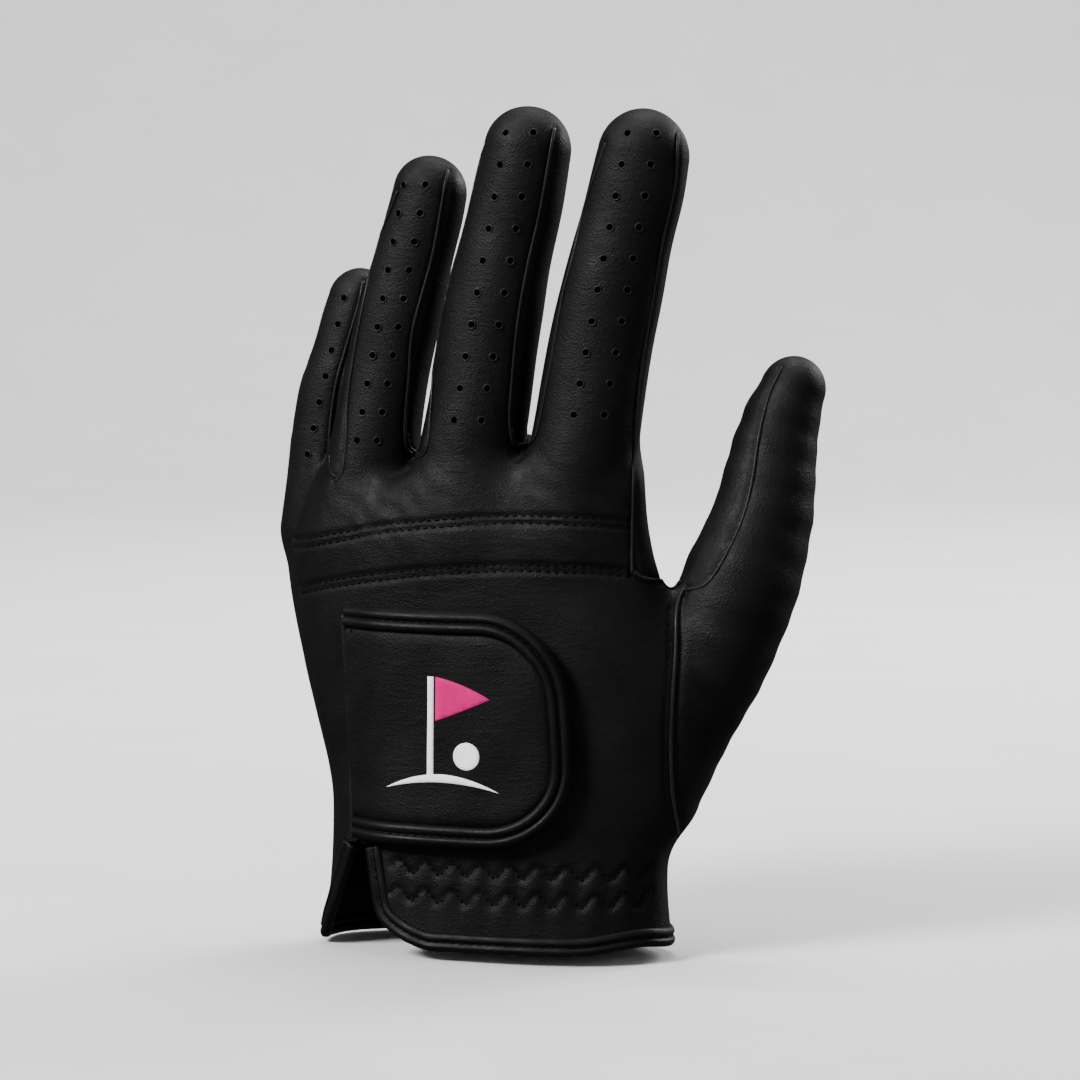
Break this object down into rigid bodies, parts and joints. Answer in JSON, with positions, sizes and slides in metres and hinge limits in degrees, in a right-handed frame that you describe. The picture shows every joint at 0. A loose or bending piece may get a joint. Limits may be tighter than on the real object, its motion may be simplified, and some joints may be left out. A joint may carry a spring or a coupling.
{
  "type": "golf glove",
  "caption": "Left-hand leather golf glove in its worn shape, with bending finger and thumb stalls, a perforated back, an elastic wrist, a wrist slit and a hook-and-loop closure tab.",
  "frame": {"origin": "centre of the hand opening, at the hem of the cuff", "axes": "+Z from the hem to the fingertips, -Y out of the back of the hand, +X towards the thumb"},
  "size_m": [0.1367, 0.0595, 0.2125],
  "materials": {
    "black_leather": "fine-grained black leather, soft satin sheen",
    "fourchette_leather": "thin black leather side strips, slightly duller",
    "binding_leather": "smooth rolled black binding",
    "elastic_tape": "woven black elastic",
    "loop_tape": "brushed black loop pile",
    "hook_tape": "moulded black hooks",
    "white_print": "raised white transfer print",
    "pink_print": "raised pink transfer print"
  },
  "bodies": {
    "hand": {"cuff_binding": "binding_leather", "fourchette_index_middle": "fourchette_leather", "fourchette_middle_ring": "fourchette_leather", "fourchette_ring_little": "fourchette_leather", "index_flex_leather": "black_leather", "knuckle_band": "black_leather", "little_flex_leather": "black_leather", "loop_patch": "loop_tape", "lower_back_panel": "black_leather", "middle_flex_leather": "black_leather", "palm_panel": "black_leather", "ring_flex_leather": "black_leather", "thumb_base_back": "black_leather", "thumb_base_gusset": "fourchette_leather", "thumb_base_palm": "black_leather", "thumb_flex_leather": "black_leather", "upper_back_panel": "black_leather", "wrist_elastic_lower": "elastic_tape", "wrist_elastic_upper": "elastic_tape"},
    "index_stall": {"index_back": "black_leather", "index_palm": "black_leather", "index_ulnar_fourchette": "fourchette_leather"},
    "middle_stall": {"middle_back": "black_leather", "middle_palm": "black_leather", "middle_radial_fourchette": "fourchette_leather", "middle_ulnar_fourchette": "fourchette_leather"},
    "ring_stall": {"ring_back": "black_leather", "ring_palm": "black_leather", "ring_radial_fourchette": "fourchette_leather", "ring_ulnar_fourchette": "fourchette_leather"},
    "little_stall": {"little_back": "black_leather", "little_palm": "black_leather", "little_radial_fourchette": "fourchette_leather"},
    "thumb_stall": {"thumb_back": "black_leather", "thumb_gusset": "fourchette_leather", "thumb_palm": "black_leather"},
    "closure_tab": {"hook_patch": "hook_tape", "tab_binding": "binding_leather", "tab_emblem_ball": "white_print", "tab_emblem_pennant": "pink_print", "tab_emblem_stick": "white_print", "tab_panel": "black_leather"}
  },
  "joints": [
    {"name": "index_bend", "type": "hinge", "parent": "hand", "child": "index_stall", "pos_m": [0.02418, 0.0016, 0.1423], "axis": [-0.9845, 0.0295, 0.1728], "range_deg": [0, 75], "deforming": ["index_flex_leather"]},
    {"name": "middle_bend", "type": "hinge", "parent": "hand", "child": "middle_stall", "pos_m": [-0.00446, 0.00073, 0.1418], "axis": [-0.9816, 0.11, 0.1559], "range_deg": [0, 75], "deforming": ["middle_flex_leather"]},
    {"name": "ring_bend", "type": "hinge", "parent": "hand", "child": "ring_stall", "pos_m": [-0.03199, 0.00482, 0.1388], "axis": [-0.952, 0.2491, 0.1777], "range_deg": [0, 75], "deforming": ["ring_flex_leather"]},
    {"name": "little_bend", "type": "hinge", "parent": "hand", "child": "little_stall", "pos_m": [-0.04913, 0.01519, 0.1338], "axis": [-0.97, -0.0873, 0.227], "range_deg": [0, 75], "deforming": ["little_flex_leather"]},
    {"name": "thumb_bend", "type": "hinge", "parent": "hand", "child": "thumb_stall", "pos_m": [0.0625, 0.0165, 0.107], "axis": [-0.9707, -0.1456, 0.191], "range_deg": [0, 40], "deforming": ["thumb_flex_leather"]},
    {"name": "tab_open", "type": "hinge", "parent": "hand", "child": "closure_tab", "pos_m": [-0.0357, -0.0124, 0.0596], "axis": [0.0584, -0.0606, -0.9965], "range_deg": [0, 150]}
  ]
}
